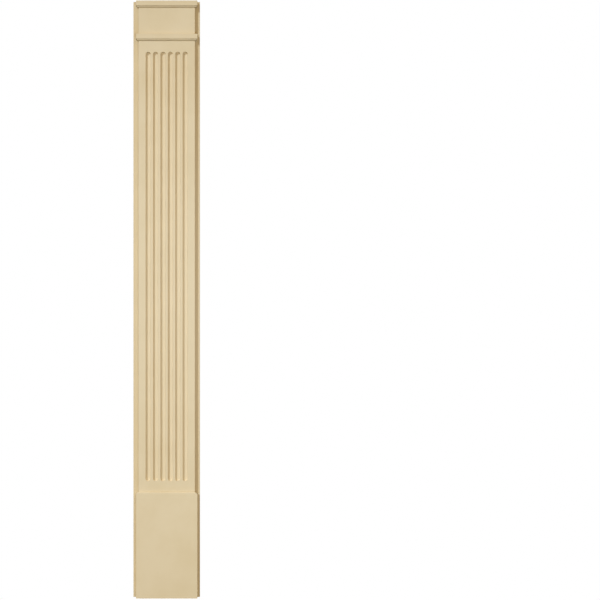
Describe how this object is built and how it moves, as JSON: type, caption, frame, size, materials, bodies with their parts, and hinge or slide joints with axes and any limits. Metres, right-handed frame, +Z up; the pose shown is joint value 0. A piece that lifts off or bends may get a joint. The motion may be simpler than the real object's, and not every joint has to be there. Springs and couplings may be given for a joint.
{
  "type": "fluted pilaster",
  "caption": "Tall flat pilaster for a wall beside a doorway: fluted shaft on a wider back board, plinth block at the foot, mitred cap and neck mouldings round a plain frieze.",
  "frame": {"origin": "centre of the flat back face, half way up, where the pilaster is fixed to the wall", "axes": "+Z up along the length, +Y into the wall, the fluted front looks along -Y, +X to the right seen from the front"},
  "size_m": [0.2554, 0.0492, 2.286],
  "materials": {
    "back_board": "matt tan primer on cellular polymer board",
    "fluted_board": "matt tan primer on cellular polymer board, routed flutes",
    "cap_moulding": "matt tan primer on cellular polymer moulding",
    "neck_moulding": "matt tan primer on cellular polymer moulding",
    "plinth_block": "matt tan primer on cellular polymer block"
  },
  "bodies": {
    "root": {"back_board": "back_board", "fluted_board": "fluted_board", "cap_moulding": "cap_moulding", "neck_moulding": "neck_moulding", "plinth_block": "plinth_block"}
  },
  "joints": []
}
